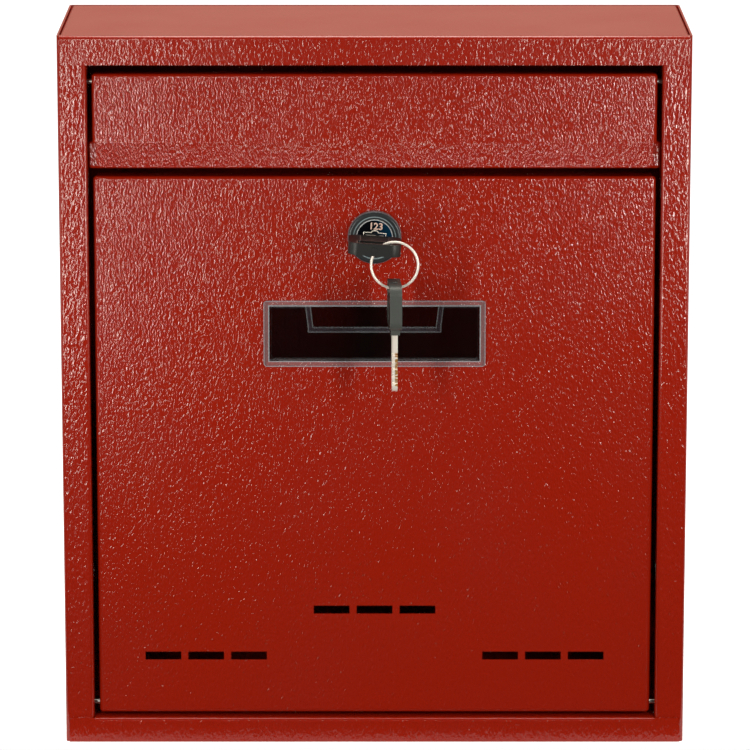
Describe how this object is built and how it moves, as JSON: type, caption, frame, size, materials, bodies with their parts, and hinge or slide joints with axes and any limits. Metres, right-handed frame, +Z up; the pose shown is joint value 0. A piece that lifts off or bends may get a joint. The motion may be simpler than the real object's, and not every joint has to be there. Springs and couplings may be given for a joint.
{
  "type": "wall letter box",
  "caption": "Wall letter box of folded painted steel with a top-hinged letter flap, a bottom-hinged door, a clear name window, a cam lock, and keys on a ring.",
  "frame": {"origin": "bottom centre of the back face, which lies against the wall", "axes": "+Z up, -Y towards the front with the door, +X to the right seen from the front"},
  "size_m": [0.26, 0.1251, 0.3],
  "materials": {
    "cabinet_paint": "textured semi-gloss",
    "flap_paint": "textured semi-gloss",
    "door_paint": "textured semi-gloss",
    "zinc_steel": "zinc plated",
    "lock_metal": "dark plated",
    "plug_metal": "dark polished",
    "brass": "stamped",
    "key_metal": "nickel-washed brass",
    "ring_steel": "bright wire",
    "black_plastic": "moulded",
    "clear_plastic": "clear moulded plastic"
  },
  "bodies": {
    "root": {"cabinet_wrap": "cabinet_paint", "top_panel": "cabinet_paint", "bottom_panel": "cabinet_paint", "cross_rail": "cabinet_paint", "flap_rod": "zinc_steel", "door_pin_left": "zinc_steel", "door_pin_right": "zinc_steel"},
    "letter_flap": {"flap": "flap_paint"},
    "door": {"door_panel": "door_paint", "name_window": "clear_plastic", "lock_housing": "lock_metal", "lock_washer": "zinc_steel", "lock_nut": "zinc_steel"},
    "plug": {"lock_plug": "plug_metal", "lock_wafers": "brass", "wafer_springs": "zinc_steel", "lock_cam": "zinc_steel", "cam_washer": "zinc_steel", "cam_nut": "zinc_steel"},
    "key": {"key_blade": "key_metal", "key_bow": "black_plastic"},
    "ring": {"key_ring": "ring_steel"},
    "spare_key": {"spare_key_blade": "key_metal", "spare_key_bow": "black_plastic"}
  },
  "joints": [
    {"name": "flap_hinge", "type": "hinge", "parent": "root", "child": "letter_flap", "pos_m": [0, -0.0845, 0.2805], "axis": [-1, 0, 0], "range_deg": [0, 110]},
    {"name": "door_hinge", "type": "hinge", "parent": "root", "child": "door", "pos_m": [0, -0.0845, 0.016], "axis": [1, 0, 0], "range_deg": [0, 100]},
    {"name": "lock_turn", "type": "hinge", "parent": "door", "child": "plug", "pos_m": [0, -0.0878, 0.2161], "axis": [0, 1, 0], "range_deg": [-4, 86]},
    {"name": "key_pull", "type": "slide", "parent": "plug", "child": "key", "axis": [0, -1, 0], "range_m": [0, 0.019]},
    {"name": "ring_slide", "type": "hinge", "parent": "key", "child": "ring", "pos_m": [0.0082, -0.11417, 0.20938], "axis": [0, 1, 0], "range_deg": [-86, 4]},
    {"name": "spare_key_swing", "type": "hinge", "parent": "ring", "child": "spare_key", "pos_m": [0.0082, -0.11417, 0.19981], "axis": [-0.9986, -0.0523, 0], "range_deg": [-8, 60]}
  ],
  "couplings": [
    {"joint": "ring_slide", "follows": "lock_turn", "ratio": -1}
  ]
}
